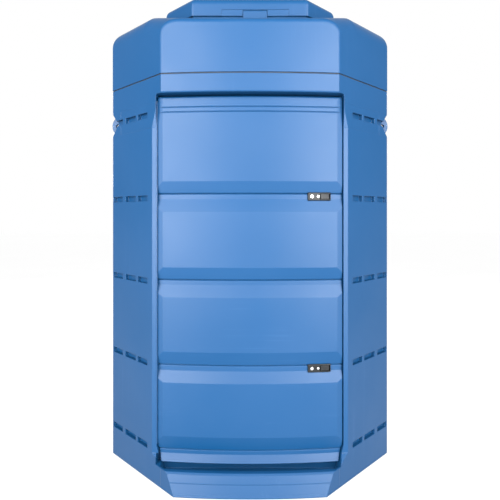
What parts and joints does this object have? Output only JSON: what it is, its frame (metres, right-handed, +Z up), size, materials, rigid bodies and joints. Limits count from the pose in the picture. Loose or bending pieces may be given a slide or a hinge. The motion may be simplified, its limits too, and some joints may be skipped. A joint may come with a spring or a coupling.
{
  "type": "storage and dispensing tank",
  "caption": "Tall octagonal double-walled plastic storage tank with a hinged roof hatch and a full-height lockable door over a dispensing cabinet.",
  "frame": {"origin": "on the ground at the centre of the bounding box", "axes": "+Z up, the cabinet door faces -Y, +X to the right of a person facing the door"},
  "size_m": [1.5616, 1.6398, 2.508],
  "materials": {
    "casing": "satin, rotation moulded",
    "roof": "satin, rotation moulded",
    "door": "satin, moulded",
    "seal": "matt",
    "tank": "matt, moulded",
    "steel": "satin",
    "hinge": "satin blue powder coat",
    "lock": "satin black",
    "fill_line": "matt grey",
    "brass": "satin",
    "black": "matt black",
    "board": "matt light grey",
    "pump": "painted casting",
    "motor": "satin dark grey",
    "control": "matt grey",
    "display": "smooth",
    "red": "satin red"
  },
  "bodies": {
    "tank": {"outer_casing": "casing", "lifting_eyes": "casing", "cabinet_box": "casing", "roof_cap": "roof", "cap_seal": "seal", "hatch_collar": "roof", "hatch_seal": "seal", "hatch_hinge_pins": "steel", "roof_screws": "steel", "inner_tank": "tank", "tank_fittings": "tank", "fill_pipe": "fill_line", "fill_coupling": "brass", "suction_pipe": "steel", "foot_valve": "brass", "level_probe": "steel", "leak_sensor": "black", "hinge_leaf_frame": "hinge", "hinge_pin": "hinge", "door_seal": "seal", "lock_keepers": "steel", "mounting_board": "board", "board_screws": "steel", "board_standoffs": "black", "pump_bracket": "steel", "pump_body": "pump", "pump_motor": "motor", "pressure_line": "steel", "valve_body": "brass", "flow_meter": "pump", "meter_display": "display", "hose_outlet": "brass", "control_box": "control", "cable_glands": "black", "level_gauge": "control", "nozzle_holder": "black", "drip_tray": "board"},
    "hatch": {"hatch_lid": "roof"},
    "manhole": {"manhole_lid": "tank", "vent_cap": "tank"},
    "fill_dust_cap": {"fill_cap": "black"},
    "door": {"door_shell": "door", "door_liner": "door", "door_battens": "door", "hinge_leaf_door": "hinge", "upper_lock_body": "lock", "lower_lock_body": "lock"},
    "valve_handle": {"valve_lever": "red"},
    "switch_knob": {"main_switch": "red"},
    "needle": {"gauge_needle": "red"},
    "reset_button": {"meter_button": "black"},
    "upper_handle": {"upper_lock_handle": "lock"},
    "upper_push": {"upper_lock_button": "steel"},
    "upper_key": {"upper_key_plug": "steel", "upper_lock_cam": "steel"},
    "lower_handle": {"lower_lock_handle": "lock"},
    "lower_push": {"lower_lock_button": "steel"},
    "lower_key": {"lower_key_plug": "steel", "lower_lock_cam": "steel"}
  },
  "joints": [
    {"name": "door_hinge", "type": "hinge", "parent": "tank", "child": "door", "pos_m": [-0.46825, -0.678, 1], "axis": [0, 0, -1], "range_deg": [0, 95]},
    {"name": "hatch_hinge", "type": "hinge", "parent": "tank", "child": "hatch", "pos_m": [0, 0.55, 2.42], "axis": [-1, 0, 0], "range_deg": [0, 95]},
    {"name": "manhole_turn", "type": "hinge", "parent": "tank", "child": "manhole", "pos_m": [0, 0.06, 2.09], "axis": [0, 0, 1], "continuous": true},
    {"name": "fill_cap_turn", "type": "hinge", "parent": "tank", "child": "fill_dust_cap", "pos_m": [-0.33, -0.4, 0.59], "axis": [0, 0, 1], "continuous": true},
    {"name": "valve_turn", "type": "hinge", "parent": "tank", "child": "valve_handle", "pos_m": [0.19, -0.437, 0.94], "axis": [0, -1, 0], "range_deg": [0, 90]},
    {"name": "switch_turn", "type": "hinge", "parent": "tank", "child": "switch_knob", "pos_m": [-0.188, -0.46, 1.46], "axis": [0, -1, 0], "range_deg": [0, 90]},
    {"name": "needle_swing", "type": "hinge", "parent": "tank", "child": "needle", "pos_m": [0.19, -0.385, 1.52], "axis": [0, 1, 0], "range_deg": [0, 240]},
    {"name": "reset_press", "type": "slide", "parent": "tank", "child": "reset_button", "axis": [0, 1, 0], "range_m": [0, 0.003], "stiffness_N_per_m": 300, "springref_m": -0.002},
    {"name": "upper_handle_flap", "type": "hinge", "parent": "door", "child": "upper_handle", "pos_m": [0.39386, -0.66556, 1.436], "axis": [0, 0, 1], "range_deg": [0, 35], "stiffness_Nm_per_rad": 0.05, "springref_deg": -17.19},
    {"name": "upper_button_press", "type": "slide", "parent": "door", "child": "upper_push", "axis": [-0.0927, 0.9957, 0], "range_m": [0, 0.004], "stiffness_N_per_m": 400, "springref_m": -0.002},
    {"name": "upper_key_turn", "type": "hinge", "parent": "door", "child": "upper_key", "pos_m": [0.31022, -0.67335, 1.436], "axis": [0.0927, -0.9957, 0], "range_deg": [0, 90]},
    {"name": "lower_handle_flap", "type": "hinge", "parent": "door", "child": "lower_handle", "pos_m": [0.39386, -0.66556, 0.572], "axis": [0, 0, 1], "range_deg": [0, 35], "stiffness_Nm_per_rad": 0.05, "springref_deg": -17.19},
    {"name": "lower_button_press", "type": "slide", "parent": "door", "child": "lower_push", "axis": [-0.0927, 0.9957, 0], "range_m": [0, 0.004], "stiffness_N_per_m": 400, "springref_m": -0.002},
    {"name": "lower_key_turn", "type": "hinge", "parent": "door", "child": "lower_key", "pos_m": [0.31022, -0.67335, 0.572], "axis": [0.0927, -0.9957, 0], "range_deg": [0, 90]}
  ]
}
